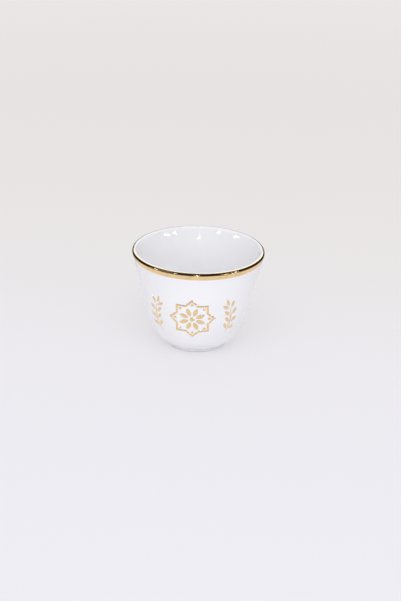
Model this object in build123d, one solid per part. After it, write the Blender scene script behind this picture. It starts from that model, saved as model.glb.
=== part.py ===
from build123d import *
from math import asin, cos, degrees, pi, radians, sin, sqrt, tan
import os

# Handleless coffee cup: a porcelain body under a glaze coat, with a gilt lip and a gilt star ornament.
# Frame: +Z up, origin at the centre of the foot ring's standing face, ornament facing -Y. Millimetres.
# Every surface is a copy of one section of tangent arcs, grown or shrunk by the coat that covers it.

# Glazed outside of the cup
RIM_DIAMETER = 62.0
CUP_HEIGHT = 47.0
LIP_LEAN = 14.9  # degrees that the wall leans out at the lip
WALL_LEAN = 11.6  # degrees that the straight wall leans out, below the flare
FLARE_LENGTH = 11.04  # along the flare, from the straight wall to the lip
SIDE_RADIUS = 75.0  # long arc of the side, which touches the straight wall at the waist
BELLY_TUCK = 1.71  # from the line of the straight wall in to the belly
BELLY_RADIUS = 11.4  # round turn from the side to the foot

# Wall, glaze included, of one thickness as a cast cup has
WALL = 2.2

# Foot ring
FOOT_INSET = 16.3  # from the rim in to the ring's outside
FOOT_HEIGHT = 1.7
FOOT_WIDTH = 2.6
WELL_DEPTH = 1.1  # hollow inside the ring, under the floor
FOOT_FILLET = 1.2  # soft hollow between the belly and the ring
WELL_FILLET = 0.5
FOOT_EDGE = 0.35
DRY_FOOT = 0.45  # height wiped free of glaze, so that the foot doesn't stick in the kiln

# Coats
GLAZE = 0.25
GILT = 0.1

# Gilt lip line
LIP_LINE_HEIGHT = 3.2  # down the wall from the lip
LIP_LINE_START = 0.25  # out from the crown of the lip, which stays white

# Gilt ornament, an eight-pointed star between two leaf sprays
ORNAMENT_DROP = 25.0  # from the lip down to the star's centre
STAR_RADIUS = 10.8
STAR_POINTS = 8
STAR_LINE = 0.95
PETAL_START = 1.8
PETAL_LENGTH = 4.6
PETAL_WIDTH = 2.1
EYE_RADIUS = 1.15
PEARL_RADIUS = 0.65
PEARL_RING_RADIUS = 7.9
SPRAY_DISTANCE = 17.3  # round the wall, from the star's centre to a spray's
SPRAY_HEIGHT = 20.0
SPRAY_BOW = 1.8  # how far the stem bows outwards
STEM_WIDTH = 0.85  # at the middle of the stem, which is pointed at both ends
LEAF_PAIRS = 4
LEAF_LENGTH = 3.8
LEAF_WIDTH = 1.5
LEAF_GAP = 0.3  # bare glaze between the stem and a leaf
LEAF_TILT = 42.0  # degrees from the stem
STAMP_REACH = 10.0  # depth of the stamps on each side of the wall


class Station:
    """A point (radius, height) of the glazed section, and the direction out of the glaze there."""

    def __init__(self, point, normal):
        self.point = point
        self.normal = normal

    def grown(self, grow):
        return self.point + self.normal * grow

    def across_wall(self):
        """The station straight across the wall, on its other face."""
        return Station(self.grown(-WALL), -self.normal)


# The wall leaves the full-round lip in a flare, an arc that ends in line with the straight wall
LIP_NORMAL = Vector(cos(radians(LIP_LEAN)), -sin(radians(LIP_LEAN)))
LIP_CENTRE = Vector(RIM_DIAMETER / 2 - WALL / 2, CUP_HEIGHT - WALL / 2)
LIP = Station(LIP_CENTRE + LIP_NORMAL * (WALL / 2), LIP_NORMAL)
WALL_NORMAL = Vector(cos(radians(WALL_LEAN)), -sin(radians(WALL_LEAN)))
WALL_UP = Vector(sin(radians(WALL_LEAN)), cos(radians(WALL_LEAN)))
FLARE_RADIUS = FLARE_LENGTH / radians(LIP_LEAN - WALL_LEAN)
FLARE_CENTRE = LIP_CENTRE + LIP_NORMAL * FLARE_RADIUS
SHOULDER = Station(FLARE_CENTRE - WALL_NORMAL * (FLARE_RADIUS - WALL / 2), WALL_NORMAL)

# The belly's arc passes through the foot's top and stays inside the line of the straight wall
FOOT_RADIUS = RIM_DIAMETER / 2 - FOOT_INSET
WELL_RADIUS = FOOT_RADIUS - FOOT_WIDTH
FOOT_TOP = Vector(FOOT_RADIUS, FOOT_HEIGHT)
BELLY_DEPTH = BELLY_RADIUS + BELLY_TUCK  # from the line of the wall in to the arc's centre
FOOT_TO_CENTRE = (SHOULDER.point - FOOT_TOP).dot(WALL_NORMAL) - BELLY_DEPTH
BELLY_RISE = sqrt(BELLY_RADIUS**2 - FOOT_TO_CENTRE**2)
BELLY_CENTRE = FOOT_TOP + WALL_NORMAL * FOOT_TO_CENTRE + WALL_UP * BELLY_RISE

# The side's arc touches the straight wall at the waist and the belly's arc, from outside, at the join
SIDE_RISE = sqrt(BELLY_TUCK * (2 * SIDE_RADIUS - BELLY_RADIUS - BELLY_DEPTH))
SIDE_CENTRE = BELLY_CENTRE - WALL_NORMAL * (SIDE_RADIUS - BELLY_DEPTH) + WALL_UP * SIDE_RISE
WAIST = Station(SIDE_CENTRE + WALL_NORMAL * SIDE_RADIUS, WALL_NORMAL)
JOIN_NORMAL = (BELLY_CENTRE - SIDE_CENTRE).normalized()
JOIN = Station(SIDE_CENTRE + JOIN_NORMAL * SIDE_RADIUS, JOIN_NORMAL)

# The gilt line runs from a point on the flare to a point just outside the lip's crown
LINE_NORMAL = LIP_NORMAL.rotate(Axis.Z, degrees((LIP_LINE_HEIGHT - WALL / 2) / FLARE_RADIUS))
LINE = Station(FLARE_CENTRE - LINE_NORMAL * (FLARE_RADIUS - WALL / 2), LINE_NORMAL)
CROWN_NORMAL = Vector(LIP_LINE_START, sqrt((WALL / 2) ** 2 - LIP_LINE_START**2)).normalized()
CROWN = Station(LIP_CENTRE + CROWN_NORMAL * (WALL / 2), CROWN_NORMAL)

# The flat floor touches the belly's inner arc at its lowest point
FLOOR_HEIGHT = BELLY_CENTRE.Y - (BELLY_RADIUS - WALL)
FLOOR_EDGE = Station(Vector(BELLY_CENTRE.X, FLOOR_HEIGHT), Vector(0, 1))
FLOOR_MIDDLE = Station(Vector(0, FLOOR_HEIGHT), Vector(0, 1))


def arc_about(centre, start, end):
    """The shorter arc about a centre from one point to another."""
    half_way = ((start + end) * 0.5 - centre).normalized()
    return ThreePointArc(start, centre + half_way * (start - centre).length, end)


def grown_arc(centre, start, end, grow):
    """The arc about a centre between two stations, moved out by grow."""
    return arc_about(centre, start.grown(grow), end.grown(grow))


def foot_top(grow):
    """Corner where the belly meets the foot ring, with both moved out by grow."""
    drop = sqrt((BELLY_RADIUS + grow) ** 2 - (FOOT_RADIUS + grow - BELLY_CENTRE.X) ** 2)
    return Vector(FOOT_RADIUS + grow, BELLY_CENTRE.Y - drop)


def skin(grow):
    """Edges from the foot's top up the outside, over the lip and down to the middle of the floor."""
    return [
        arc_about(BELLY_CENTRE, foot_top(grow), JOIN.grown(grow)),
        grown_arc(SIDE_CENTRE, JOIN, WAIST, grow),
        Line(WAIST.grown(grow), SHOULDER.grown(grow)),
        grown_arc(FLARE_CENTRE, SHOULDER, LINE, grow),
        grown_arc(FLARE_CENTRE, LINE, LIP, grow),
        grown_arc(LIP_CENTRE, LIP, CROWN, grow),
        grown_arc(LIP_CENTRE, CROWN, LIP.across_wall(), grow),
        grown_arc(FLARE_CENTRE, LIP.across_wall(), SHOULDER.across_wall(), grow),
        Line(SHOULDER.across_wall().grown(grow), WAIST.across_wall().grown(grow)),
        grown_arc(SIDE_CENTRE, WAIST.across_wall(), JOIN.across_wall(), grow),
        grown_arc(BELLY_CENTRE, JOIN.across_wall(), FLOOR_EDGE, grow),
        Line(FLOOR_EDGE.grown(grow), FLOOR_MIDDLE.grown(grow)),
    ]


def rounded(section, point, radius):
    """A section with its corner at a point rounded."""
    return fillet(section.vertices().sort_by_distance((point.X, point.Y, 0))[0], radius)


def turned(section):
    """Solid of a section turned once round the cup's axis."""
    return revolve(Plane.XZ * section, Axis.Z, clean=False)


def porcelain_body():
    """The fired body, bare at the standing face of its foot ring."""
    inner, outer, roof = WELL_RADIUS + GLAZE, FOOT_RADIUS - GLAZE, WELL_DEPTH + GLAZE
    well_corner, inner_edge, outer_edge = Vector(inner, roof), Vector(inner, 0), Vector(outer, 0)
    foot = Polyline((0, roof), well_corner, inner_edge, outer_edge, foot_top(-GLAZE))
    axis = Line(FLOOR_MIDDLE.grown(-GLAZE), (0, roof))
    section = make_face([*foot.edges(), *skin(-GLAZE), axis])
    section = rounded(section, well_corner, WELL_FILLET + GLAZE)
    section = rounded(section, foot_top(-GLAZE), FOOT_FILLET + GLAZE)
    for point in (inner_edge, outer_edge):
        section = rounded(section, point, FOOT_EDGE)
    return turned(section)


def glaze_coat():
    """The glaze from the dry foot up the outside, over the lip and across the floor."""
    dry_edge = Polyline(
        foot_top(0),
        (FOOT_RADIUS, DRY_FOOT),
        (FOOT_RADIUS - GLAZE, DRY_FOOT),
        foot_top(-GLAZE),
    )
    axis = Line(FLOOR_MIDDLE.point, FLOOR_MIDDLE.grown(-GLAZE))
    section = make_face([*dry_edge.edges(), *skin(0), *skin(-GLAZE), axis])
    section = rounded(section, foot_top(0), FOOT_FILLET)
    return turned(rounded(section, foot_top(-GLAZE), FOOT_FILLET + GLAZE))


def base_glaze():
    """The patch of glaze in the well under the floor, which the dry foot parts from the coat."""
    low_corner = Vector(WELL_RADIUS, WELL_DEPTH)
    high_corner = low_corner + Vector(GLAZE, GLAZE)
    outline = Polyline(
        (0, low_corner.Y),
        low_corner,
        (low_corner.X, DRY_FOOT),
        (high_corner.X, DRY_FOOT),
        high_corner,
        (0, high_corner.Y),
        close=True,
    )
    section = rounded(make_face(outline), low_corner, WELL_FILLET)
    return turned(rounded(section, high_corner, WELL_FILLET + GLAZE))


def rim_gilding():
    """The gilt line round the outside of the lip."""
    outline = [
        grown_arc(FLARE_CENTRE, LINE, LIP, 0),
        grown_arc(LIP_CENTRE, LIP, CROWN, 0),
        Line(CROWN.point, CROWN.grown(GILT)),
        grown_arc(LIP_CENTRE, CROWN, LIP, GILT),
        grown_arc(FLARE_CENTRE, LIP, LINE, GILT),
        Line(LINE.grown(GILT), LINE.point),
    ]
    return turned(make_face(outline))


# Gilt ornament, drawn flat and stamped out of a film on the belly, the side and the straight wall
ORNAMENT_HEIGHT = CUP_HEIGHT - ORNAMENT_DROP
ORNAMENT_RADIUS = SHOULDER.point.X - (SHOULDER.point.Y - ORNAMENT_HEIGHT) * tan(radians(WALL_LEAN))
SPRAY_ANGLE = degrees(SPRAY_DISTANCE / ORNAMENT_RADIUS)


def ornament_film():
    """Gilt film round the outside of the cup, from the foot's top up to the flare."""
    low = Station(FOOT_TOP, (FOOT_TOP - BELLY_CENTRE).normalized())
    outline = [
        grown_arc(BELLY_CENTRE, low, JOIN, 0),
        grown_arc(SIDE_CENTRE, JOIN, WAIST, 0),
        Polyline(WAIST.point, SHOULDER.point, SHOULDER.grown(GILT), WAIST.grown(GILT)),
        grown_arc(SIDE_CENTRE, WAIST, JOIN, GILT),
        grown_arc(BELLY_CENTRE, JOIN, low, GILT),
        Line(low.grown(GILT), low.point),
    ]
    return turned(make_face([edge for piece in outline for edge in piece.edges()]))


ORNAMENT_FILM = ornament_film()


def wall_plane(turn):
    """Plane along the straight wall at the ornament's height, turned round the cup from its front."""
    front = Plane(
        origin=(0, -ORNAMENT_RADIUS, ORNAMENT_HEIGHT),
        x_dir=(1, 0, 0),
        z_dir=(0, -WALL_NORMAL.X, WALL_NORMAL.Y),
    )
    return Plane(Rot(Z=turn) * front.location)


def stamped(drawing, turn=0.0):
    """The gilt film under a flat drawing that is pressed square on to the wall."""
    return ORNAMENT_FILM & extrude(wall_plane(turn) * drawing, STAMP_REACH, both=True)


def leaf_shape(length, width):
    """Pointed leaf along X from the origin, between two equal arcs."""
    tip = (length, 0)
    upper = ThreePointArc((0, 0), (length / 2, width / 2), tip)
    lower = ThreePointArc(tip, (length / 2, -width / 2), (0, 0))
    return make_face([upper, lower])


def star_shape(radius):
    """Outline of two equal squares, one turned an eighth of a circle from the other."""
    valley = radius * cos(pi / 4) / cos(pi / STAR_POINTS)
    step = pi / STAR_POINTS
    radii = [radius, valley] * STAR_POINTS
    points = [(r * sin(i * step), r * cos(i * step)) for i, r in enumerate(radii)]
    return make_face(Polyline(*points, close=True))


def gilt_star():
    """The star's line."""
    return stamped(star_shape(STAR_RADIUS) - star_shape(STAR_RADIUS - STAR_LINE / cos(pi / 4)))


def gilt_rosette():
    """Petals towards the star's valleys, round an eye."""
    petal = Pos(PETAL_START, 0) * leaf_shape(PETAL_LENGTH, PETAL_WIDTH)
    petals = [Rot(Z=360 * (i + 0.5) / STAR_POINTS) * petal for i in range(STAR_POINTS)]
    return stamped(Sketch() + [Circle(EYE_RADIUS), *petals])


def gilt_pearls():
    """A dot in each point of the star."""
    return stamped(Sketch() + PolarLocations(PEARL_RING_RADIUS, STAR_POINTS) * Circle(PEARL_RADIUS))


def gilt_spray():
    """The right spray: a bowed stem with pairs of leaves, and one leaf at its tip."""
    foot = -SPRAY_HEIGHT / 2
    tip = SPRAY_HEIGHT / 2 - LEAF_LENGTH - LEAF_GAP
    middle, half = (foot + tip) / 2, (tip - foot) / 2
    bow_radius = (half**2 + SPRAY_BOW**2) / (2 * SPRAY_BOW)
    bow_centre = Pos(SPRAY_BOW - bow_radius, middle)
    sweep = degrees(asin(half / bow_radius))

    leaf = leaf_shape(LEAF_LENGTH, LEAF_WIDTH)
    inner_edge = ThreePointArc((0, foot), (SPRAY_BOW - STEM_WIDTH / 2, middle), (0, tip))
    outer_edge = ThreePointArc((0, tip), (SPRAY_BOW + STEM_WIDTH / 2, middle), (0, foot))
    stem = make_face([inner_edge, outer_edge])
    leaves = [bow_centre * Rot(Z=sweep) * Pos(bow_radius, 0) * Rot(Z=90) * Pos(LEAF_GAP, 0) * leaf]
    clear_of_stem = (STEM_WIDTH / 2 + LEAF_GAP) / sin(radians(LEAF_TILT))
    for i in range(LEAF_PAIRS):
        on_stem = bow_centre * Rot(Z=sweep * (2 * (i + 0.5) / LEAF_PAIRS - 1)) * Pos(bow_radius, 0)
        for tilt in (-LEAF_TILT, LEAF_TILT):
            leaves.append(on_stem * Rot(Z=90 + tilt) * Pos(clear_of_stem, 0) * leaf)
    return stamped(Sketch() + [stem, *leaves], SPRAY_ANGLE)


right_spray = gilt_spray()
nodes = {
    "porcelain_body": porcelain_body(),
    "glaze_coat": glaze_coat(),
    "base_glaze": base_glaze(),
    "rim_gilding": rim_gilding(),
    "gilt_star": gilt_star(),
    "gilt_rosette": gilt_rosette(),
    "gilt_pearls": gilt_pearls(),
    "gilt_spray_left": mirror(right_spray, about=Plane.YZ),
    "gilt_spray_right": right_spray,
}

os.makedirs("parts", exist_ok=True)
for name, shape in nodes.items():
    export_step(shape, f"parts/{name}.step")
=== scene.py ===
import math
from typing import NamedTuple

import bmesh
import bpy
from bpy.props import FloatProperty, FloatVectorProperty, IntProperty, PointerProperty
from mathutils import Matrix, Vector


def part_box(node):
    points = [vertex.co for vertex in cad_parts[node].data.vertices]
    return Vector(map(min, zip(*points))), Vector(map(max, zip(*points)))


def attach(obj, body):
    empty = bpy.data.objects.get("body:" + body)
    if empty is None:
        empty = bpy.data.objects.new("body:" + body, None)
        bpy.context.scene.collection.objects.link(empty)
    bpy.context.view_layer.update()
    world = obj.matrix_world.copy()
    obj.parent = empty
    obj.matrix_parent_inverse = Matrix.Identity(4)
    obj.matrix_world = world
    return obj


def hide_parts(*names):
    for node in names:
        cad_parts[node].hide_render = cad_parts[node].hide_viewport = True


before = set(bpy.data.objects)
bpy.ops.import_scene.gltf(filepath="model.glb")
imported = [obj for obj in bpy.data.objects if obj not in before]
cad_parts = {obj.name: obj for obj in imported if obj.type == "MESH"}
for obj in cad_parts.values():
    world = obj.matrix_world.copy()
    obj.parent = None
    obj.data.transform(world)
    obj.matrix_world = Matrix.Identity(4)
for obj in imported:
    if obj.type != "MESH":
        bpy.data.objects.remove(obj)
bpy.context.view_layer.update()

bl_info = {
    "name": "Arabic coffee cup",
    "version": (1, 0, 0),
    "blender": (4, 5, 0),
    "location": "3D View > Sidebar > Coffee cup",
    "description": "Dresses the packed coffee cup in glaze, a gilt lip and a gilt star between leaf sprays",
    "category": "Object",
}

# Handleless coffee cup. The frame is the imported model's: metres, +Z up, the star facing -Y.
MM = 0.001
CUP_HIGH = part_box("glaze_coat")[1]

# The photograph's frame in pixels
PHOTO_WIDTH = 401
PHOTO_HEIGHT = 601

# Fineness of the meshes
MERGE_DISTANCE = 0.001 * MM
CREASE = math.radians(50)
SECTION_RESOLUTION = 9  # points on each run or arc of a turned section
ARC_RESOLUTION = 33  # points on an edge of a leaf
STRIP_ROUND = 12  # points round a strip's flat cross-section
STEPS_ALONG = 16  # steps along a leaf, a petal or a dot
STEM_STEPS = 3 * STEPS_ALONG
STEPS_TO_EDGE = 8  # steps along one side of a star's point

# Form of the gilt films
STRIP_SQUARE = 0.35  # below 1 a strip's top is flatter and its edges are rounder
LINE_FULL = 0.6  # where the lip line is full: 0 at the ends of its section, 1 in the middle
PRESS_REACH = 10 * MM  # from where a drawing is pressed on to the wall

# Finish of the glaze; each pattern is given in waves to the metre
GLAZE_IOR = 1.52
GLAZE_CLOUDS = 45.0
GLAZE_CLOUD_EDGES = (0.35, 0.75)
GLAZE_CLOUD_SHARE = 0.6
POOL_HEIGHTS = (2.0 * MM, 9.0 * MM)  # the glaze pools near the foot
POOL_SHARE = 0.4
SPECK_CELLS = 330.0
SPECK_EDGES = (0.03, 0.055)
SPECK_CHANCE = (0.965, 0.97)
SPECK_SHARE = 0.45
GLAZE_SMEARS = 130.0
GLAZE_ROUGHNESS = 0.03
SMEAR_ROUGHNESS = 0.05
GLAZE_RIPPLES = 260.0
GLAZE_PITS = 900.0
PIT_SHARE = 0.35
GLAZE_RELIEF = 0.05 * MM
GLAZE_RELIEF_SHARE = 0.06

# Finish of the bare porcelain
PORCELAIN_GRAIN = 2600.0
PORCELAIN_RUBS = 420.0
RUB_EDGES = (0.52, 0.74)
RUB_SHARE = 0.55
GRAIN_SHARE = 0.12
PORCELAIN_ROUGHNESS = 0.62
GRAIN_ROUGHNESS = 0.3
PORCELAIN_RELIEF = 0.04 * MM
PORCELAIN_RELIEF_SHARE = 0.5

# Finish of the gilding
GOLD_CLOUDS = 210.0
GOLD_CLOUD_EDGES = (0.40, 0.72)
GOLD_CLOUD_SHARE = 0.65
GOLD_STROKES = (900.0, 900.0, 2600.0)  # closer up and down, so that they run round the cup
STROKE_EDGES = (0.45, 0.8)
STROKE_SHARE = 0.35
THIN_EDGES = (0.05, 0.55)
THIN_SHARE = 0.7
GOLD_ROUGHNESS = 0.07
CLOUD_ROUGHNESS = 0.08
STROKE_ROUGHNESS = 0.05
THIN_ROUGHNESS = 0.08
CLOUD_RELIEF = 0.6
GOLD_RELIEF = 0.03 * MM
GOLD_RELIEF_SHARE = 0.18

# Floor
FLOOR_HALF = 4.0
FLOOR_DROP = 0.02 * MM  # the floor lies just clear of the standing face
FLOOR_CLOUDS = 3.0
FLOOR_CLOUD_REACH = 0.05
FLOOR_WARMS = (-0.1, 0.25)  # from in front of the cup to behind it
FLOOR_ROUGHNESS = 0.9


class Lamp(NamedTuple):
    """An area lamp that points at the cup, with its angles in degrees and its power in watts."""

    turn: float
    rise: float
    width: float
    height: float
    power: float


LAMP_DISTANCE = 1.2

# Lamps that light the cup and show in no gloss
SOFT_LAMPS = {
    "lamp_left": Lamp(turn=-52.0, rise=26.0, width=0.16, height=0.16, power=0.35),
    "lamp_right": Lamp(turn=50.0, rise=24.0, width=0.16, height=0.16, power=0.35),
    "soft_front": Lamp(turn=5.0, rise=4.0, width=0.8, height=0.8, power=2.1),
    "soft_above": Lamp(turn=5.0, rise=55.0, width=1.0, height=1.0, power=4.6),
}

# Lamps that show only in the gloss of the glaze and the gilding
GLOSS_LAMPS = {
    "glint_lip": Lamp(turn=-52.0, rise=26.0, width=0.09, height=0.09, power=1.0),
    "glint_right": Lamp(turn=51.3, rise=8.4, width=0.13, height=0.03, power=0.5),
    "glint_left": Lamp(turn=-33.1, rise=9.7, width=0.13, height=0.03, power=0.5),
    "glint_low_right": Lamp(turn=68.5, rise=5.7, width=0.25, height=0.03, power=0.9),
    "glint_low_left": Lamp(turn=-70.7, rise=4.7, width=0.25, height=0.03, power=0.9),
    "glint_front": Lamp(turn=3.7, rise=7.2, width=0.13, height=0.03, power=0.5),
    "panel_back": Lamp(turn=180.0, rise=37.0, width=1.0, height=0.62, power=2.8),
}


# Sizes and colours


def length(name, description, millimetres):
    """A length property with its default in millimetres."""
    metres = millimetres * MM
    return FloatProperty(name=name, description=description, default=metres, unit="LENGTH", precision=5)


def angle(name, description, degrees):
    """An angle property with its default in degrees."""
    return FloatProperty(name=name, description=description, default=math.radians(degrees), subtype="ANGLE")


def ratio(name, description, default):
    """A plain number property."""
    return FloatProperty(name=name, description=description, default=default, precision=4)


def count(name, description, default, least):
    """A whole number property."""
    return IntProperty(name=name, description=description, default=default, min=least)


def colour(name, description, default):
    """A colour property."""
    return FloatVectorProperty(
        name=name, description=description, default=default, subtype="COLOR", size=3, min=0.0, max=1.0
    )


class CupSizes(bpy.types.PropertyGroup):
    """Sizes of the turned cup and its coats."""

    rim_diameter: length("Rim diameter", "Width of the glazed lip", 2 * CUP_HIGH[0] / MM)
    cup_height: length("Height", "From the standing face to the crown of the lip", CUP_HIGH[2] / MM)
    lip_lean: angle("Lip lean", "How far the wall leans out at the lip", 14.9)
    wall_lean: angle("Wall lean", "How far the straight wall leans out", 11.6)
    flare_length: length("Flare length", "From the straight wall up to the lip", 11.04)
    side_radius: length("Side radius", "Long arc of the side below the waist", 75.0)
    belly_tuck: length("Belly tuck", "From the line of the straight wall in to the belly", 1.71)
    belly_radius: length("Belly radius", "Round turn from the side to the foot", 11.4)
    wall: length("Wall", "Thickness of the wall with its glaze", 2.2)
    foot_inset: length("Foot inset", "From the rim in to the outside of the foot ring", 16.3)
    foot_height: length("Foot height", "Height of the foot ring", 1.7)
    foot_fillet: length("Foot fillet", "Hollow between the belly and the foot ring", 1.2)
    dry_foot: length("Dry foot", "Height of the foot that is free of glaze", 0.45)
    glaze: length("Glaze", "Thickness of the glaze coat", 0.25)
    glaze_edge: length("Glaze edge", "Rounding of the glaze where it stops above the foot", 0.1)
    lip_line_height: length("Lip line height", "Gilt line down the wall from the lip", 3.2)
    lip_line_start: length("Lip line start", "White crown between the gilt line and the lip's top", 0.4)
    gilt: length("Gilding", "Thickness of the gilt films", 0.09)
    gilt_sink: length("Gilding sink", "How far the gilt films reach into the glaze", 0.05)
    gilt_edge: length("Gilding edge", "Width over which the lip line thins out", 0.3)
    steps_round: count("Steps round", "Faces round the turned pieces", 224, 32)


class OrnamentSizes(bpy.types.PropertyGroup):
    """Sizes of the gilt star and of the leaf sprays beside it."""

    drop: length("Drop", "From the lip down to the star's centre", 25.0)
    star_radius: length("Star radius", "From the star's centre to its points", 10.8)
    star_points: count("Star points", "Points of the star", 8, 5)
    star_line: length("Star line", "Width of the star's line", 0.95)
    petal_start: length("Petal start", "From the star's centre to the petals", 1.8)
    petal_length: length("Petal length", "Length of a petal", 4.6)
    petal_width: length("Petal width", "Width of a petal", 2.1)
    eye_radius: length("Eye radius", "Round eye inside the petals", 1.15)
    pearl_radius: length("Pearl radius", "Radius of a dot", 0.65)
    pearl_ring_radius: length("Pearl ring radius", "From the star's centre to the dots", 7.9)
    spray_distance: length("Spray distance", "Round the wall, from the star's centre to a spray's", 17.3)
    spray_height: length("Spray height", "Height of a spray", 20.0)
    spray_bow: length("Spray bow", "How far the stem bows outwards", 1.8)
    stem_width: length("Stem width", "Widest part of the stem", 0.85)
    leaf_pairs: count("Leaf pairs", "Pairs of leaves on a stem", 4, 1)
    leaf_length: length("Leaf length", "Length of a leaf", 3.8)
    leaf_width: length("Leaf width", "Width of a leaf", 1.5)
    leaf_gap: length("Leaf gap", "Bare glaze between the stem and a leaf", 0.3)
    leaf_tilt: angle("Leaf tilt", "Angle between a leaf and the stem", 42.0)


class CupColours(bpy.types.PropertyGroup):
    """Colours of the glaze, the bare porcelain and the gilding."""

    glaze: colour("Glaze", "White of the glazed porcelain", (0.915, 0.912, 0.932))
    glaze_cool: colour("Cool glaze", "Where the glaze lies a little thicker", (0.885, 0.886, 0.918))
    speck: colour("Speck", "Faint specks in the glaze", (0.62, 0.58, 0.54))
    porcelain: colour("Bare porcelain", "Unglazed foot", (0.79, 0.765, 0.73))
    porcelain_worn: colour("Worn porcelain", "Rubbed marks on the foot", (0.55, 0.52, 0.49))
    gold: colour("Gold", "Bright gilding", (0.94, 0.71, 0.39))
    gold_deep: colour("Deep gold", "Thicker and shaded gilding", (0.84, 0.58, 0.28))
    gold_thin: colour("Thin gold", "Edges where the gilding thins out", (0.88, 0.70, 0.46))


class StageSettings(bpy.types.PropertyGroup):
    """Camera, floor and surroundings."""

    floor: colour("Floor", "Pale floor in front", (0.85, 0.84, 0.885))
    floor_far: colour("Far floor", "Pale floor behind the cup", (0.845, 0.81, 0.80))
    floor_glow: ratio("Floor glow", "Share of the floor's own paleness in the picture", 0.6)
    floor_pale: length("Pale floor", "How far from the cup the gilding mirrors a pale floor", 78.0)
    floor_dark: length("Dark floor", "Where the floor that the gilding mirrors is dark", 140.0)
    floor_fade: length("Floor fade", "Where the far floor starts to fade into the surroundings", 300.0)
    floor_end: length("Floor end", "Where the floor looks like the surroundings", 1000.0)
    room: colour("Room light", "Soft light from all round", (0.782, 0.782, 0.79))
    room_side: colour("Side light", "Soft light from the left and the right", (0.521, 0.529, 0.521))
    dark_room: colour("Dark room", "What the gilding mirrors above the floor", (0.02, 0.018, 0.016))
    camera_distance: length("Camera distance", "From the lens to the middle of the lip", 700.0)
    camera_turn: angle("Camera turn", "Round the cup, towards its right side", 4.8)
    camera_rise: angle("Camera rise", "Above the horizon", 21.65)
    camera_roll: angle("Camera roll", "Tilt of the picture", 1.42)
    pixels_per_millimetre: ratio("Picture scale", "Pixels of a millimetre at the lip", 2.127)
    lip_across: ratio("Lip across", "Pixels from the left edge to the lip's middle", 198.5)
    lip_down: ratio("Lip down", "Pixels from the top edge to the lip's middle", 248.7)


# Nodes as Python expressions


class Field:
    """An output socket; arithmetic on it adds Math nodes to its tree."""

    def __init__(self, nodes, socket):
        self.nodes = nodes
        self.socket = socket

    def output(self, name):
        """Another output of the same node."""
        return Field(self.nodes, self.socket.node.outputs[name])

    def math(self, operation, *values):
        return self.nodes.add("ShaderNodeMath", dict(enumerate(values)), operation=operation)

    def __add__(self, other):
        return self.math("ADD", self, other)

    __radd__ = __add__

    def __sub__(self, other):
        return self.math("SUBTRACT", self, other)

    def __rsub__(self, other):
        return self.math("SUBTRACT", other, self)

    def __mul__(self, other):
        return self.math("MULTIPLY", self, other)

    __rmul__ = __mul__

    def __truediv__(self, other):
        return self.math("DIVIDE", self, other)

    def __rtruediv__(self, other):
        return self.math("DIVIDE", other, self)

    def __pow__(self, other):
        return self.math("POWER", self, other)

    def __neg__(self):
        return self.math("SUBTRACT", 0.0, self)

    def above(self, other):
        """The larger of two values."""
        return self.math("MAXIMUM", self, other)

    def floor(self):
        return self.math("FLOOR", self)

    def sin(self):
        return self.math("SINE", self)

    def cos(self):
        return self.math("COSINE", self)

    def arcsin(self):
        return self.math("ARCSINE", self)


# Sockets of a Mix node that mixes colours
MIX_FACTOR, MIX_FIRST, MIX_SECOND = 0, 6, 7
MIX_RESULT = 2


class Nodes:
    """Adds nodes to one tree."""

    def __init__(self, tree):
        self.tree = tree

    def add(self, kind, sockets=None, output=0, **settings):
        """A node with its settings, then the values or links of its sockets; gives one of its outputs.
        A list holds the links of a socket that takes several."""
        node = self.tree.nodes.new(kind)
        for name, value in settings.items():
            setattr(node, name, value)
        for key, value in (sockets or {}).items():
            for part in value if isinstance(value, list) else [value]:
                self.plug(node.inputs[key], part)
        return Field(self, node.outputs[output]) if node.outputs else node

    def plug(self, socket, value):
        """Links a field to a socket, or sets the socket's own value."""
        if isinstance(value, Field):
            self.tree.links.new(value.socket, socket)
        else:
            socket.default_value = value

    def vector(self, operation, *values, output=0):
        """A Vector Math node."""
        return self.add("ShaderNodeVectorMath", dict(enumerate(values)), output, operation=operation)

    def scaled(self, vector, factor):
        """A vector times a value."""
        return self.add("ShaderNodeVectorMath", {"Vector": vector, "Scale": factor}, operation="SCALE")

    def turned(self, vector, turn):
        """A vector turned round the cup's axis."""
        sockets = {"Vector": vector, "Angle": turn}
        return self.add("ShaderNodeVectorRotate", sockets, rotation_type="Z_AXIS")

    def combine(self, x, y, z):
        return self.add("ShaderNodeCombineXYZ", {"X": x, "Y": y, "Z": z})

    def part(self, vector, axis):
        """A vector's part along X, Y or Z."""
        return self.add("ShaderNodeSeparateXYZ", {"Vector": vector}, axis)

    def mix_colour(self, factor, first, second):
        """From the first colour at 0 to the second at 1."""
        shades = [shade if isinstance(shade, Field) else (*shade, 1.0) for shade in (first, second)]
        sockets = {MIX_FACTOR: factor, MIX_FIRST: shades[0], MIX_SECOND: shades[1]}
        return self.add("ShaderNodeMix", sockets, MIX_RESULT, data_type="RGBA")

    def between(self, value, low, high, low_result=0.0, high_result=1.0):
        """A value's smooth share of the way from low to high."""
        sockets = dict(enumerate((value, low, high, low_result, high_result)))
        return self.add("ShaderNodeMapRange", sockets, interpolation_type="SMOOTHSTEP")

    def fading(self, value, low, high):
        """From 1 at low, smoothly down to 0 at high."""
        return self.between(value, low, high, 1.0, 0.0)

    def noise(self, vector, waves, detail=2.0, roughness=0.5):
        """Noise of so many waves to the metre."""
        sockets = {"Vector": vector, "Scale": waves, "Detail": detail, "Roughness": roughness}
        return self.add("ShaderNodeTexNoise", sockets)

    def bump(self, height, relief, share):
        """A normal for a height that rises by a relief, of which a share shows."""
        return self.add("ShaderNodeBump", {"Strength": share, "Distance": relief, "Height": height})


# Materials


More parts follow.
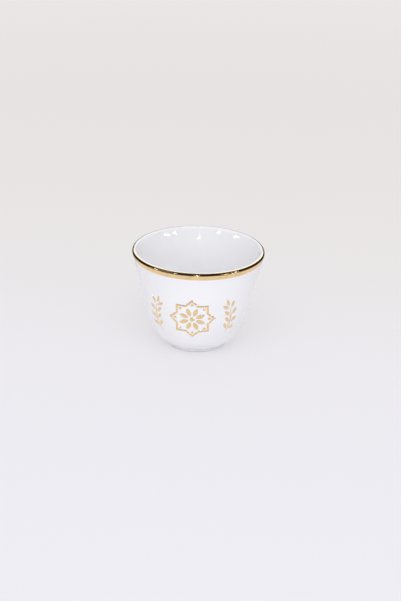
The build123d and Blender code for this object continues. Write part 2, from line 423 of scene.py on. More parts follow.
def new_material(name):
    """A bare material, its node adder and the place on its piece."""
    material = bpy.data.materials.new(name)
    material.use_nodes = True
    material.node_tree.nodes.clear()
    nodes = Nodes(material.node_tree)
    return material, nodes, nodes.add("ShaderNodeTexCoord", output="Object")


def surfaced(material, nodes, sockets):
    """The material, ended in a principled shader with these sockets."""
    shader = nodes.add("ShaderNodeBsdfPrincipled", sockets)
    nodes.add("ShaderNodeOutputMaterial", {"Surface": shader})
    return material


def glazed_porcelain(colours):
    """Glossy white porcelain: a little cooler where the glaze pools, faint specks and an uneven gloss."""
    material, nodes, place = new_material("glazed_porcelain")
    clouds = nodes.between(nodes.noise(place, GLAZE_CLOUDS, detail=3.0), *GLAZE_CLOUD_EDGES)
    pool = nodes.fading(nodes.part(place, "Z"), *POOL_HEIGHTS)
    thick = clouds * GLAZE_CLOUD_SHARE + pool * POOL_SHARE
    white = nodes.mix_colour(thick, colours.glaze, colours.glaze_cool)
    cell = nodes.add("ShaderNodeTexVoronoi", {"Vector": place, "Scale": SPECK_CELLS})
    chance = nodes.add("ShaderNodeTexWhiteNoise", {"Vector": cell.output("Position")})
    speck = nodes.fading(cell, *SPECK_EDGES) * nodes.between(chance, *SPECK_CHANCE)
    smears = nodes.noise(place, GLAZE_SMEARS, detail=4.0)
    ripples = nodes.noise(place, GLAZE_RIPPLES) + PIT_SHARE * nodes.noise(place, GLAZE_PITS, detail=1.0)
    sockets = {
        "Base Color": nodes.mix_colour(speck * SPECK_SHARE, white, colours.speck),
        "Roughness": GLAZE_ROUGHNESS + SMEAR_ROUGHNESS * smears,
        "Normal": nodes.bump(ripples, GLAZE_RELIEF, GLAZE_RELIEF_SHARE),
        "IOR": GLAZE_IOR,
    }
    return surfaced(material, nodes, sockets)


def bare_porcelain(colours):
    """Matt unglazed porcelain, grainy and rubbed where it stands."""
    material, nodes, place = new_material("bare_porcelain")
    grain = nodes.noise(place, PORCELAIN_GRAIN, detail=3.0, roughness=0.6)
    rubs = nodes.between(nodes.noise(place, PORCELAIN_RUBS, detail=4.0, roughness=0.65), *RUB_EDGES)
    worn = rubs * RUB_SHARE + grain * GRAIN_SHARE
    sockets = {
        "Base Color": nodes.mix_colour(worn, colours.porcelain, colours.porcelain_worn),
        "Roughness": PORCELAIN_ROUGHNESS + GRAIN_ROUGHNESS * grain,
        "Normal": nodes.bump(grain, PORCELAIN_RELIEF, PORCELAIN_RELIEF_SHARE),
    }
    return surfaced(material, nodes, sockets)


def fired_gilding(colours):
    """Bright fired gold: brushed on unevenly, deeper in places and thin along its edges."""
    material, nodes, place = new_material("fired_gilding")
    clouds = nodes.noise(place, GOLD_CLOUDS, detail=4.0, roughness=0.6)
    strokes = nodes.noise(nodes.vector("MULTIPLY", place, GOLD_STROKES), 1.0)
    deep_clouds = nodes.between(clouds, *GOLD_CLOUD_EDGES) * GOLD_CLOUD_SHARE
    deep = deep_clouds + nodes.between(strokes, *STROKE_EDGES) * STROKE_SHARE
    shade = nodes.mix_colour(deep, colours.gold, colours.gold_deep)
    film = nodes.add("ShaderNodeAttribute", output="Fac", attribute_name="film")
    thin = nodes.fading(film, *THIN_EDGES)
    uneven = CLOUD_ROUGHNESS * clouds + STROKE_ROUGHNESS * strokes + THIN_ROUGHNESS * thin
    sockets = {
        "Base Color": nodes.mix_colour(thin * THIN_SHARE, shade, colours.gold_thin),
        "Roughness": GOLD_ROUGHNESS + uneven,
        "Normal": nodes.bump(strokes + CLOUD_RELIEF * clouds, GOLD_RELIEF, GOLD_RELIEF_SHARE),
        "Metallic": 1.0,
    }
    return surfaced(material, nodes, sockets)


def finish(make):
    """The material that a function makes, made once for all the pieces that share it."""
    return bpy.data.materials.get(make.__name__) or make(bpy.context.scene.cup_colours)


def pale_floor(settings):
    """A pale floor that turns warmer behind the cup and fades into the surroundings.
    The camera sees part of its paleness as glow, and gloss sees a floor that is dark further off."""
    material, nodes, place = new_material("pale_floor")
    distance = nodes.vector("LENGTH", place, output="Value")
    faded = nodes.between(distance, settings.floor_fade, settings.floor_end)
    behind = nodes.part(place, "Y") + FLOOR_CLOUD_REACH * nodes.noise(place, FLOOR_CLOUDS)
    far = nodes.between(behind, *FLOOR_WARMS).above(faded)
    shade = nodes.mix_colour(far, settings.floor, settings.floor_far)
    sockets = {"Base Color": shade, "Roughness": FLOOR_ROUGHNESS, "Specular IOR Level": 0.0}
    lit = nodes.add("ShaderNodeBsdfPrincipled", sockets)
    seen = nodes.add("ShaderNodeLightPath", output="Is Camera Ray")
    mirrored = seen.output("Is Glossy Ray")
    dark = mirrored * nodes.between(distance, settings.floor_pale, settings.floor_dark)
    glow_shade = nodes.mix_colour(dark, shade, settings.dark_room)
    glow = nodes.add("ShaderNodeEmission", {"Color": glow_shade})
    share = seen * (settings.floor_glow + (1.0 - settings.floor_glow) * faded) + mirrored
    mixed = nodes.add("ShaderNodeMixShader", {0: share, 1: lit, 2: glow})
    nodes.add("ShaderNodeOutputMaterial", {"Surface": mixed})
    return material


# The cup's section, in the plane of radius and height


class Station:
    """A point of the glazed section and the direction out of the glaze there."""

    def __init__(self, point, normal):
        self.point = point
        self.normal = normal

    def grown(self, grow):
        return self.point + self.normal * grow

    def across(self, wall):
        """The station straight across the wall, on its other face."""
        return Station(self.grown(-wall), -self.normal)


class CupSection:
    """The stations and arc centres of the cup's section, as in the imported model."""

    def __init__(self, sizes):
        half_wall = sizes.wall / 2
        self.sizes = sizes
        lip_normal = Vector((math.cos(sizes.lip_lean), -math.sin(sizes.lip_lean)))
        self.lip_centre = Vector((sizes.rim_diameter / 2 - half_wall, sizes.cup_height - half_wall))
        self.lip = Station(self.lip_centre + lip_normal * half_wall, lip_normal)
        wall_normal = Vector((math.cos(sizes.wall_lean), -math.sin(sizes.wall_lean)))
        wall_up = Vector((math.sin(sizes.wall_lean), math.cos(sizes.wall_lean)))
        self.flare_radius = sizes.flare_length / (sizes.lip_lean - sizes.wall_lean)
        self.flare_centre = self.lip_centre + lip_normal * self.flare_radius
        to_shoulder = wall_normal * (self.flare_radius - half_wall)
        self.shoulder = Station(self.flare_centre - to_shoulder, wall_normal)

        self.foot_radius = sizes.rim_diameter / 2 - sizes.foot_inset
        foot_top = Vector((self.foot_radius, sizes.foot_height))
        belly_depth = sizes.belly_radius + sizes.belly_tuck
        foot_to_centre = (self.shoulder.point - foot_top).dot(wall_normal) - belly_depth
        belly_rise = math.sqrt(sizes.belly_radius**2 - foot_to_centre**2)
        self.belly_centre = foot_top + wall_normal * foot_to_centre + wall_up * belly_rise
        side_rise = math.sqrt(sizes.belly_tuck * (2 * sizes.side_radius - sizes.belly_radius - belly_depth))
        to_side = wall_up * side_rise - wall_normal * (sizes.side_radius - belly_depth)
        self.side_centre = self.belly_centre + to_side
        self.waist = Station(self.side_centre + wall_normal * sizes.side_radius, wall_normal)
        join_normal = -to_side.normalized()
        self.join = Station(self.side_centre + join_normal * sizes.side_radius, join_normal)

        start = sizes.lip_line_start
        crown_normal = Vector((start, math.sqrt(half_wall**2 - start**2))).normalized()
        self.crown = Station(self.lip_centre + crown_normal * half_wall, crown_normal)

        floor_height = self.belly_centre.y - (sizes.belly_radius - sizes.wall)
        self.floor_edge = Station(Vector((self.belly_centre.x, floor_height)), Vector((0.0, 1.0)))
        self.floor_middle = Station(Vector((0.0, floor_height)), Vector((0.0, 1.0)))

    def on_flare(self, down):
        """Station on the outside of the flare, so far down from the lip."""
        normal = self.lip.normal.copy()
        normal.rotate(Matrix.Rotation(down / self.flare_radius, 2))
        return Station(self.flare_centre - normal * (self.flare_radius - self.sizes.wall / 2), normal)

    def on_lip(self, down):
        """Station on the rounding of the lip, so far down from the upper edge of the gilt line."""
        half_wall = self.sizes.wall / 2
        normal = self.crown.normal.copy()
        normal.rotate(Matrix.Rotation(-down / half_wall, 2))
        return Station(self.lip_centre + normal * half_wall, normal)

    def wall_radius(self, height):
        """Radius at a height of the line that the straight wall follows."""
        return self.shoulder.point.x - (self.shoulder.point.y - height) * math.tan(self.sizes.wall_lean)

    def foot_turn(self, grow):
        """Ends and centre of the hollow between the belly and the foot ring, both moved out by grow."""
        radius = self.sizes.foot_fillet - grow
        across = self.foot_radius + grow + radius
        reach = self.sizes.belly_radius + grow + radius
        drop = math.sqrt(reach**2 - (across - self.belly_centre.x) ** 2)
        centre = Vector((across, self.belly_centre.y - drop))
        on_foot = Vector((self.foot_radius + grow, centre.y))
        on_belly = centre + (self.belly_centre - centre).normalized() * radius
        return on_foot, on_belly, centre

    def face(self, grow):
        """Points from the middle of the floor up the inside, over the lip and down to the foot ring,
        moved out by grow, and the centres of the stretches between them, None for a straight one."""
        on_foot, on_belly, foot_centre = self.foot_turn(grow)
        outside = [self.lip, self.shoulder, self.waist, self.join]
        inside = [station.across(self.sizes.wall) for station in reversed(outside)]
        stations = [self.floor_middle, self.floor_edge, *inside, self.crown, *outside]
        points = [station.grown(grow) for station in stations]
        down_wall = [self.flare_centre, None, self.side_centre, self.belly_centre]
        over_lip = [self.lip_centre, self.lip_centre]
        centres = [None, *reversed(down_wall), *over_lip, *down_wall, foot_centre]
        return [*points, on_belly, on_foot], centres


class Outline:
    """A path of straight runs and arcs, kept as the points and handles of a Bezier curve."""

    def __init__(self, start):
        self.points = [start]
        self.arriving = [start]
        self.leaving = []

    def add(self, leaving, arriving, end):
        self.leaving.append(leaving)
        self.arriving.append(arriving)
        self.points.append(end)

    def run(self, end):
        """Straight on to a point."""
        start = self.points[-1]
        self.add(start.lerp(end, 1 / 3), start.lerp(end, 2 / 3), end)

    def arc(self, centre, end):
        """The shorter way round a centre to a point."""
        spoke, last = self.points[-1] - centre, end - centre
        turn = math.copysign(spoke.angle(last), spoke.x * last.y - spoke.y * last.x)
        handle = 4 / 3 * math.tan(turn / 4)
        leaving = self.points[-1] + Vector((-spoke.y, spoke.x)) * handle
        arriving = end - Vector((-last.y, last.x)) * handle
        self.add(leaving, arriving, end)

    def follow(self, centres, ends):
        """Arcs round their centres, and straight runs where there is no centre."""
        for centre, end in zip(centres, ends):
            if centre is None:
                self.run(end)
            else:
                self.arc(centre, end)

    def curve(self, name):
        """A curve object of the path, with radius along X and height along Z."""
        data = bpy.data.curves.new(name, "CURVE")
        data.dimensions = "3D"
        data.resolution_u = SECTION_RESOLUTION
        spline = data.splines.new("BEZIER")
        spline.bezier_points.add(len(self.points) - 1)
        leaving = [*self.leaving, self.points[-1]]
        for bezier, point, before, after in zip(spline.bezier_points, self.points, self.arriving, leaving):
            bezier.handle_left_type = "FREE"
            bezier.handle_right_type = "FREE"
            bezier.co = (point.x, 0.0, point.y)
            bezier.handle_left = (before.x, 0.0, before.y)
            bezier.handle_right = (after.x, 0.0, after.y)
        return placed(name, data)


# Geometry node trees

SOCKET_KINDS = {
    int: "NodeSocketInt",
    float: "NodeSocketFloat",
    Vector: "NodeSocketVector",
    bpy.types.Object: "NodeSocketObject",
    bpy.types.Material: "NodeSocketMaterial",
}


def geometry_tree(name, values):
    """A geometry node tree with an input for each value; gives its node adder and the inputs' fields."""
    tree = bpy.data.node_groups.new(name, "GeometryNodeTree")
    tree.is_modifier = True
    tree.interface.new_socket("Geometry", in_out="OUTPUT", socket_type="NodeSocketGeometry")
    for label, value in values.items():
        kind = next(kind for sort, kind in SOCKET_KINDS.items() if isinstance(value, sort))
        tree.interface.new_socket(label, in_out="INPUT", socket_type=kind)
    nodes = Nodes(tree)
    first = nodes.add("NodeGroupInput")
    return nodes, {label: first.output(label) for label in values}


def close_tree(nodes, geometry, material):
    """Ends a tree in merged, smooth, realized geometry with its material."""
    merged = nodes.add("GeometryNodeMergeByDistance", {"Geometry": geometry, "Distance": MERGE_DISTANCE})
    sockets = {"Geometry": merged, "Shade Smooth": True}
    smooth = nodes.add("GeometryNodeSetShadeSmooth", sockets, domain="FACE")
    bend = nodes.add("GeometryNodeInputMeshEdgeAngle", output="Unsigned Angle")
    crease = nodes.add("FunctionNodeCompare", {"A": bend, "B": CREASE}, operation="GREATER_THAN")
    sockets = {"Geometry": smooth, "Selection": crease, "Shade Smooth": False}
    creased = nodes.add("GeometryNodeSetShadeSmooth", sockets, domain="EDGE")
    realized = nodes.add("GeometryNodeRealizeInstances", {"Geometry": creased})
    finished = nodes.add("GeometryNodeSetMaterial", {"Geometry": realized, "Material": material})
    nodes.add("NodeGroupOutput", {"Geometry": finished})
    return nodes.tree


def grid_fields(nodes, rows, columns):
    """A grid of rows and columns of points, and each point's row and column."""
    grid = nodes.add("GeometryNodeMeshGrid", {"Vertices X": rows, "Vertices Y": columns})
    index = nodes.add("GeometryNodeInputIndex")
    row = (index / columns).floor()
    return grid, row, index - row * columns


def with_film(nodes, geometry, body):
    """Geometry that keeps how full its film is, from 0 at an edge to 1, for the gilding."""
    sockets = {"Geometry": geometry, "Name": "film", "Value": body}
    return nodes.add("GeometryNodeStoreNamedAttribute", sockets, data_type="FLOAT", domain="POINT")


def hump(share):
    """From 0 at both ends of a share's way to 1 in the middle."""
    return 4.0 * share * (1.0 - share)


def turned_coat(values):
    """Turns a section round the cup's axis."""
    nodes, given = geometry_tree("turned_coat", values)
    section = nodes.add("GeometryNodeObjectInfo", {"Object": given["Section"]}, "Geometry")
    points = nodes.add("GeometryNodeCurveToPoints", {"Curve": section}, mode="EVALUATED")
    counted = {"Geometry": points}
    total = nodes.add("GeometryNodeAttributeDomainSize", counted, "Point Count", component="POINTCLOUD")
    grid, row, column = grid_fields(nodes, given["Steps round"] + 1, total)
    here = nodes.add("GeometryNodeInputPosition")
    sockets = {"Geometry": points, "Value": here, "Index": column}
    sampled = nodes.add("GeometryNodeSampleIndex", sockets, data_type="FLOAT_VECTOR", domain="POINT")
    place = nodes.turned(sampled, row / given["Steps round"] * math.tau)
    coat = nodes.add("GeometryNodeSetPosition", {"Geometry": grid, "Position": place})
    body = nodes.between(hump(column / (total - 1)), 0.0, given["Full"])
    return close_tree(nodes, with_film(nodes, coat, body), given["Finish"])


def film_strip(nodes, edges, steps, given, pointed):
    """A closed strip of gilt film between two edge curves, flat in XY, with its thickness along Z."""
    grid, row, column = grid_fields(nodes, steps + 1, STRIP_ROUND + 1)
    along = row / steps
    turn = column * (math.tau / STRIP_ROUND)
    across = 0.5 - 0.5 * turn.cos()
    ends = []
    for edge in edges:
        sockets = {"Curves": edge, "Factor": along}
        ends.append(nodes.add("GeometryNodeSampleCurve", sockets, "Position", mode="FACTOR"))
    wave = turn.sin()
    rise = wave.above(0.0) ** STRIP_SQUARE * given["Thickness"] - (-wave).above(0.0) * given["Sink"]
    if pointed:
        rise = rise * hump(along).above(0.0) ** 0.5
    step = nodes.scaled(nodes.vector("SUBTRACT", ends[1], ends[0]), across)
    level = nodes.vector("ADD", ends[0], step)
    place = nodes.vector("ADD", level, nodes.combine(0.0, 0.0, rise))
    strip = nodes.add("GeometryNodeSetPosition", {"Geometry": grid, "Position": place})
    return with_film(nodes, strip, hump(across))


def three_point_arc(nodes, start, middle, end):
    """An arc through three points, each a tuple of two values."""
    sockets = {"Resolution": ARC_RESOLUTION}
    for label, point in {"Start": start, "Middle": middle, "End": end}.items():
        sockets[label] = nodes.combine(*point, 0.0)
    return nodes.add("GeometryNodeCurveArc", sockets, mode="POINTS")


def film_leaf(nodes, start, size, half_width, given):
    """A pointed leaf of film along X, between two equal arcs."""
    middle, tip = start + size * 0.5, start + size
    edges = []
    for side in (1.0, -1.0):
        edges.append(three_point_arc(nodes, (start, 0.0), (middle, half_width * side), (tip, 0.0)))
    return film_strip(nodes, edges, given["Steps along"], given, pointed=True)


def repeated(nodes, shape, total, first_turn):
    """A shape repeated evenly round the drawing's centre."""
    points = nodes.add("GeometryNodePoints", {"Count": total})
    index = nodes.add("GeometryNodeInputIndex")
    turn = nodes.combine(0.0, 0.0, (index + first_turn) * math.tau / total)
    sockets = {"Points": points, "Instance": shape, "Rotation": turn}
    return nodes.add("GeometryNodeInstanceOnPoints", sockets)


def pressed(nodes, drawing, given, side=1.0, turn=0.0):
    """Ends a tree in a flat drawing, pressed square on to the cup's wall, then turned round the cup."""
    realized = nodes.add("GeometryNodeRealizeInstances", {"Geometry": drawing})
    here = nodes.add("GeometryNodeInputPosition")
    across = nodes.combine(nodes.part(here, "X") * side, 0.0, 0.0)
    up = nodes.scaled(given["Up"], nodes.part(here, "Y"))
    out = nodes.scaled(given["Out"], given["Reach"])
    start = nodes.vector("ADD", nodes.vector("ADD", given["Centre"], across), nodes.vector("ADD", up, out))
    sockets = {
        "Target Geometry": nodes.add("GeometryNodeObjectInfo", {"Object": given["Wall"]}, "Geometry"),
        "Attribute": nodes.add("GeometryNodeInputNormal"),
        "Source Position": start,
        "Ray Direction": nodes.scaled(given["Out"], -1.0),
        "Ray Length": given["Reach"] * 2.0,
    }
    hit = nodes.add(
        "GeometryNodeRaycast", sockets, "Hit Position", data_type="FLOAT_VECTOR", mapping="INTERPOLATED"
    )
    lift = nodes.scaled(nodes.vector("NORMALIZE", hit.output("Attribute")), nodes.part(here, "Z"))
    place = nodes.turned(nodes.vector("ADD", hit, lift), turn)
    film = nodes.add("GeometryNodeSetPosition", {"Geometry": realized, "Position": place})
    return close_tree(nodes, film, given["Finish"])


def gilt_star_line(values):
    """The star's line: a strip between two like stars."""
    nodes, given = geometry_tree("gilt_star_line", values)
    slant = math.cos(math.pi / 4)
    valley = slant / (math.pi / given["Star points"]).cos()
    edges = []
    for inset in (0.0, 1.0):
        radius = given["Star radius"] - given["Star line"] * (inset / slant)
        sockets = {"Points": given["Star points"], "Inner Radius": radius * valley, "Outer Radius": radius}
        edges.append(nodes.add("GeometryNodeCurveStar", sockets, "Curve"))
    steps = given["Star points"] * 2 * given["Steps to an edge"]
    return pressed(nodes, film_strip(nodes, edges, steps, given, pointed=False), given)


def gilt_rosette_petals(values):
    """Petals towards the star's valleys, round an eye."""
    nodes, given = geometry_tree("gilt_rosette_petals", values)
    eye_radius = given["Eye radius"]
    petal = film_leaf(nodes, given["Petal start"], given["Petal length"], given["Petal width"] * 0.5, given)
    eye = film_leaf(nodes, -eye_radius, eye_radius * 2.0, eye_radius, given)
    shapes = [repeated(nodes, petal, given["Star points"], 0.5), eye]
    return pressed(nodes, nodes.add("GeometryNodeJoinGeometry", {"Geometry": shapes}), given)


def gilt_pearl_ring(values):
    """A ring of dots, one in each point of the star."""
    nodes, given = geometry_tree("gilt_pearl_ring", values)
    radius = given["Pearl radius"]
    pearl = film_leaf(nodes, given["Pearl ring radius"] - radius, radius * 2.0, radius, given)
    return pressed(nodes, repeated(nodes, pearl, given["Star points"], 0.0), given)


def gilt_spray_leaves(values):
    """A bowed stem with pairs of leaves and one leaf at its tip."""
    nodes, given = geometry_tree("gilt_spray_leaves", values)
    foot, tip, bow = given["Foot"], given["Tip"], given["Spray bow"]
    middle, half = (foot + tip) * 0.5, (tip - foot) * 0.5
    half_stem = given["Stem width"] * 0.5
    edges = []
    for side in (-1.0, 1.0):
        edges.append(three_point_arc(nodes, (0.0, foot), (bow + half_stem * side, middle), (0.0, tip)))
    stem = film_strip(nodes, edges, given["Stem steps"], given, pointed=True)

    bow_radius = (half * half + bow * bow) / (2.0 * bow)
    sweep = (half / bow_radius).arcsin()
    pairs = given["Leaf pairs"]
    index = nodes.add("GeometryNodeInputIndex")
    pair = (index * 0.5).floor()
    tilt_side = (index - pair * 2.0) * 2.0 - 1.0
    turn = sweep * (2.0 * (pair + 0.5) / pairs - 1.0)
    spot = nodes.combine(bow - bow_radius + bow_radius * turn.cos(), middle + bow_radius * turn.sin(), 0.0)
    points = nodes.add("GeometryNodePoints", {"Count": pairs * 2, "Position": spot})
    heading = nodes.combine(0.0, 0.0, turn + math.pi / 2 + given["Leaf tilt"] * tilt_side)
    clear = (half_stem + given["Leaf gap"]) / given["Leaf tilt"].sin()
    half_leaf = given["Leaf width"] * 0.5
    leaf = film_leaf(nodes, clear, given["Leaf length"], half_leaf, given)
    sockets = {"Points": points, "Instance": leaf, "Rotation": heading}
    leaves = nodes.add("GeometryNodeInstanceOnPoints", sockets)

    last = film_leaf(nodes, given["Leaf gap"], given["Leaf length"], half_leaf, given)
    moved = nodes.combine(0.0, tip, 0.0)
    turned = nodes.combine(0.0, 0.0, sweep + math.pi / 2)
    sockets = {"Geometry": last, "Translation": moved, "Rotation": turned}
    tip_leaf = nodes.add("GeometryNodeTransform", sockets)
    drawing = nodes.add("GeometryNodeJoinGeometry", {"Geometry": [stem, leaves, tip_leaf]})
    return pressed(nodes, drawing, given, given["Side"], given["Angle"] * given["Side"])


# Pieces


def placed(name, data):
    """A new object in the scene."""
    item = bpy.data.objects.new(name, data)
    bpy.context.scene.collection.objects.link(item)
    return item


def made_by(make_tree, name, values):
    """A plain mesh object of a tree's result, with its faces pointing outwards."""
    tree = bpy.data.node_groups.get(make_tree.__name__) or make_tree(values)
    piece = placed(name, bpy.data.meshes.new(name))
    modifier = piece.modifiers.new(tree.name, "NODES")
    modifier.node_group = tree
    for item in tree.interface.items_tree:
        if item.in_out == "INPUT":
            modifier[item.identifier] = values[item.name]
    evaluated = piece.evaluated_get(bpy.context.evaluated_depsgraph_get())
    mesh = bpy.data.meshes.new_from_object(evaluated)
    piece.modifiers.remove(modifier)
    piece.data = mesh
    mesh.name = name
    if not mesh.polygons:
        raise RuntimeError(f"{name} came out empty")
    shape = bmesh.new()
    shape.from_mesh(mesh)
    bmesh.ops.recalc_face_normals(shape, faces=shape.faces)
    shape.to_mesh(mesh)
    shape.free()
    return piece


def settled(piece, node):
    """The piece rides on the cup and stands for its node, which it hides."""
    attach(piece, "root")
    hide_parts(node)


def turned_piece(name, outline, full, material):
    """A piece turned from an outline."""
    section = outline.curve(f"{name}_section")
    values = {
        "Section": section,
        "Steps round": bpy.context.scene.cup_sizes.steps_round,
        "Full": full,
        "Finish": material,
    }
    piece = made_by(turned_coat, name, values)
    bpy.data.objects.remove(section)
    return piece


def gilded(make_tree, node, values):
    """A gilt film on the wall that stands for its node."""
    settled(made_by(make_tree, f"{node}_film", values), node)


def named_sizes(group, *names):
    """Sizes of a settings group, by the names that a user sees."""
    return {group.bl_rna.properties[name].name: getattr(group, name) for name in names}


def film_values(context):
    """Values that every gilt film needs."""
    sizes = context.scene.cup_sizes
    cup = CupSection(sizes)
    height = sizes.cup_height - context.scene.cup_ornament.drop
    out = Vector((0.0, -cup.shoulder.normal.x, cup.shoulder.normal.y))
    return {
        "Wall": bpy.data.objects["glaze_coat_turned"],
        "Centre": Vector((0.0, -cup.wall_radius(height), height)),
        "Up": out.cross(Vector((1.0, 0.0, 0.0))),
        "Out": out,
        "Reach": PRESS_REACH,
        "Thickness": sizes.gilt,
        "Sink": sizes.gilt_sink,
        "Finish": finish(fired_gilding),
        "Steps along": STEPS_ALONG,
    }


def direction(turn, rise):
    """Unit vector from the cup, so far round it from its front towards its right, and above the floor."""
    level = math.cos(rise)
    return Vector((math.sin(turn) * level, -math.cos(turn) * level, math.sin(rise)))


# Operators


class CUP_OT_glaze_coat(bpy.types.Operator):
    """Turn the glaze from the dry foot up the outside, over the lip and across the floor"""

    bl_idname = "cup.glaze_coat"
    bl_label = "Glaze coat"

    def execute(self, context):
        sizes = context.scene.cup_sizes
        cup = CupSection(sizes)
        points, centres = cup.face(0.0)
        outline = Outline(points[0])
        outline.follow(centres, points[1:])
        bead = sizes.glaze_edge
        low_corner = Vector((cup.foot_radius, sizes.dry_foot))
        outline.run(low_corner + Vector((0.0, bead)))
        outline.arc(low_corner + Vector((-bead, bead)), low_corner + Vector((-bead, 0.0)))
        outline.run(low_corner + Vector((-sizes.glaze, 0.0)))
        points, centres = cup.face(-sizes.glaze)
        outline.run(points[-1])
        outline.follow(reversed(centres), reversed(points[:-1]))
        piece = turned_piece("glaze_coat_turned", outline, 1.0, finish(glazed_porcelain))
        settled(piece, "glaze_coat")
        return {"FINISHED"}


class CUP_OT_foot(bpy.types.Operator):
    """Finish the bare porcelain of the foot ring and the glaze in the well under the floor"""

    bl_idname = "cup.foot"
    bl_label = "Foot and well"

    def execute(self, context):
        finishes = {"porcelain_body": finish(bare_porcelain), "base_glaze": finish(glazed_porcelain)}
        for node, material in finishes.items():
            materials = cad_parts[node].data.materials
            materials.clear()
            materials.append(material)
        return {"FINISHED"}


class CUP_OT_rim_gilding(bpy.types.Operator):
    """Turn the gilt line round the outside of the lip, thin along both edges"""

    bl_idname = "cup.rim_gilding"
    bl_label = "Gilt lip line"

    def execute(self, context):
        sizes = context.scene.cup_sizes
        cup = CupSection(sizes)
        line_down = sizes.lip_line_height - sizes.wall / 2
        low_edge = cup.on_flare(line_down)
        low_full = cup.on_flare(line_down - sizes.gilt_edge)
        high_full = cup.on_lip(sizes.gilt_edge)
        outline = Outline(low_edge.grown(-sizes.gilt_sink))
        outline.run(low_edge.point)
        outline.run(low_full.grown(sizes.gilt))
        outline.arc(cup.flare_centre, cup.lip.grown(sizes.gilt))
        outline.arc(cup.lip_centre, high_full.grown(sizes.gilt))
        outline.run(cup.crown.point)
        outline.run(cup.crown.grown(-sizes.gilt_sink))
        outline.arc(cup.lip_centre, cup.lip.grown(-sizes.gilt_sink))
        outline.arc(cup.flare_centre, low_edge.grown(-sizes.gilt_sink))
        piece = turned_piece("rim_gilding_turned", outline, LINE_FULL, finish(fired_gilding))
        settled(piece, "rim_gilding")
        return {"FINISHED"}


class CUP_OT_star(bpy.types.Operator):
    """Lay the gilt star, its petals and its dots on the front of the wall"""

    bl_idname = "cup.star"
    bl_label = "Gilt star"

    def execute(self, context):
        drawing = context.scene.cup_ornament
        film = film_values(context)
        star = named_sizes(drawing, "star_points", "star_radius", "star_line")
        petals = named_sizes(drawing, "star_points", "petal_start", "petal_length", "petal_width")
        eye = named_sizes(drawing, "eye_radius")
        pearls = named_sizes(drawing, "star_points", "pearl_ring_radius", "pearl_radius")
        gilded(gilt_star_line, "gilt_star", film | star | {"Steps to an edge": STEPS_TO_EDGE})
        gilded(gilt_rosette_petals, "gilt_rosette", film | petals | eye)
        gilded(gilt_pearl_ring, "gilt_pearls", film | pearls)
        return {"FINISHED"}


class CUP_OT_sprays(bpy.types.Operator):
    """Lay a gilt spray of leaves on each side of the star"""

    bl_idname = "cup.sprays"
    bl_label = "Gilt sprays"

    def execute(self, context):
        drawing = context.scene.cup_ornament
        film = film_values(context)
        leaves = named_sizes(drawing, "leaf_pairs", "leaf_length", "leaf_width", "leaf_gap", "leaf_tilt")
        stem = named_sizes(drawing, "spray_bow", "stem_width") | {
            "Foot": -drawing.spray_height / 2,
            "Tip": drawing.spray_height / 2 - drawing.leaf_length - drawing.leaf_gap,
            "Stem steps": STEM_STEPS,
            "Angle": drawing.spray_distance / -film["Centre"].y,
        }
        for node, side in {"gilt_spray_left": -1.0, "gilt_spray_right": 1.0}.items():
            gilded(gilt_spray_leaves, node, film | stem | leaves | {"Side": side})
        return {"FINISHED"}


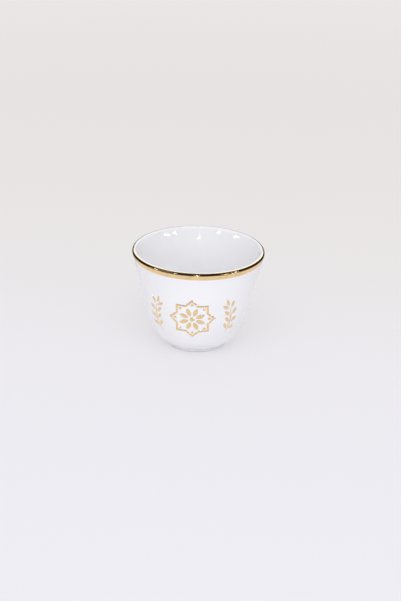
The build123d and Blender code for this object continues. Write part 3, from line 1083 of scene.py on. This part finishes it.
class CUP_OT_stage(bpy.types.Operator):
    """Set the floor, the lamps, the surroundings and the camera"""

    bl_idname = "cup.stage"
    bl_label = "Stage"

    def execute(self, context):
        settings = context.scene.cup_stage
        self.lay_floor(settings)
        self.hang_lamps()
        self.light_room(settings)
        self.place_camera(settings)
        context.scene.view_settings.view_transform = "Standard"
        return {"FINISHED"}

    def lay_floor(self, settings):
        """A square floor, just under the cup."""
        half, level = FLOOR_HALF, -FLOOR_DROP
        corners = [(-half, -half, level), (half, -half, level), (half, half, level), (-half, half, level)]
        mesh = bpy.data.meshes.new("floor")
        mesh.from_pydata(corners, [], [(0, 1, 2, 3)])
        mesh.materials.append(pale_floor(settings))
        placed("floor", mesh)

    def hang_lamps(self):
        """Soft light on the cup, and lamps that only gloss sees."""
        for name, lamp in SOFT_LAMPS.items():
            self.hang(name, lamp).visible_glossy = False
        for name, lamp in GLOSS_LAMPS.items():
            self.hang(name, lamp).visible_diffuse = False

    def hang(self, name, lamp):
        """A lamp's object, turned to the cup."""
        way = direction(math.radians(lamp.turn), math.radians(lamp.rise))
        data = bpy.data.lights.new(name, "AREA")
        data.shape = "RECTANGLE"
        data.size = lamp.width
        data.size_y = lamp.height
        data.energy = lamp.power
        hung = placed(name, data)
        hung.location = way * LAMP_DISTANCE
        hung.rotation_euler = way.to_track_quat("Z", "Y").to_euler()
        return hung

    def light_room(self, settings):
        """Soft light, dimmer from both sides; gloss sees a dark room, the camera a pale one."""
        world = bpy.data.worlds.new("room")
        world.use_nodes = True
        world.node_tree.nodes.clear()
        nodes = Nodes(world.node_tree)
        across = nodes.part(nodes.add("ShaderNodeTexCoord", output="Generated"), "X")
        light = nodes.mix_colour(across * across, settings.room, settings.room_side)
        seen = nodes.add("ShaderNodeLightPath", output="Is Camera Ray")
        mirrored = nodes.mix_colour(seen.output("Is Glossy Ray"), light, settings.dark_room)
        shade = nodes.mix_colour(seen, mirrored, settings.floor_far)
        background = nodes.add("ShaderNodeBackground", {"Color": shade})
        nodes.add("ShaderNodeOutputWorld", {"Surface": background})
        bpy.context.scene.world = world

    def place_camera(self, settings):
        """The photograph's view, with the lip's middle at its place in the picture."""
        back = direction(settings.camera_turn, settings.camera_rise)
        flat_right = Vector((math.cos(settings.camera_turn), math.sin(settings.camera_turn), 0.0))
        flat_up = back.cross(flat_right)
        right = flat_right * math.cos(settings.camera_roll) + flat_up * math.sin(settings.camera_roll)
        up = back.cross(right)
        lip_middle = Vector((0.0, 0.0, CUP_HIGH[2]))
        eye = lip_middle + back * settings.camera_distance
        pixel = MM / settings.pixels_per_millimetre
        aside = (PHOTO_WIDTH / 2 - settings.lip_across) * pixel
        below = (PHOTO_HEIGHT / 2 - settings.lip_down) * pixel
        aim = lip_middle + right * aside - up * below
        back = (eye - aim).normalized()
        right = up.cross(back).normalized()
        up = back.cross(right)

        data = bpy.data.cameras.new("camera")
        data.sensor_fit = "AUTO"
        data.lens = data.sensor_width * settings.camera_distance / pixel / PHOTO_HEIGHT
        camera = placed("camera", data)
        camera.matrix_world = Matrix.Translation(eye) @ Matrix((right, up, back)).transposed().to_4x4()
        bpy.context.scene.camera = camera


class CUP_PT_panel(bpy.types.Panel):
    """Lists the cup's operators and settings"""

    bl_idname = "CUP_PT_panel"
    bl_label = "Coffee cup"
    bl_space_type = "VIEW_3D"
    bl_region_type = "UI"
    bl_category = "Coffee cup"

    def draw(self, context):
        for operator in OPERATORS:
            self.layout.operator(operator.bl_idname)
        for group, settings in SETTINGS.items():
            box = self.layout.box()
            for name in settings.__annotations__:
                box.prop(getattr(context.scene, group), name)


OPERATORS = (
    CUP_OT_glaze_coat,
    CUP_OT_foot,
    CUP_OT_rim_gilding,
    CUP_OT_star,
    CUP_OT_sprays,
    CUP_OT_stage,
)
SETTINGS = {
    "cup_sizes": CupSizes,
    "cup_ornament": OrnamentSizes,
    "cup_colours": CupColours,
    "cup_stage": StageSettings,
}


def register():
    for group, settings in SETTINGS.items():
        bpy.utils.register_class(settings)
        setattr(bpy.types.Scene, group, PointerProperty(type=settings))
    for operator in OPERATORS:
        bpy.utils.register_class(operator)
    bpy.utils.register_class(CUP_PT_panel)


def unregister():
    bpy.utils.unregister_class(CUP_PT_panel)
    for operator in reversed(OPERATORS):
        bpy.utils.unregister_class(operator)
    for group, settings in SETTINGS.items():
        delattr(bpy.types.Scene, group)
        bpy.utils.unregister_class(settings)


def main():
    register()
    bpy.ops.cup.glaze_coat()
    bpy.ops.cup.foot()
    bpy.ops.cup.rim_gilding()
    bpy.ops.cup.star()
    bpy.ops.cup.sprays()
    bpy.ops.cup.stage()


if __name__ == "__main__":
    main()
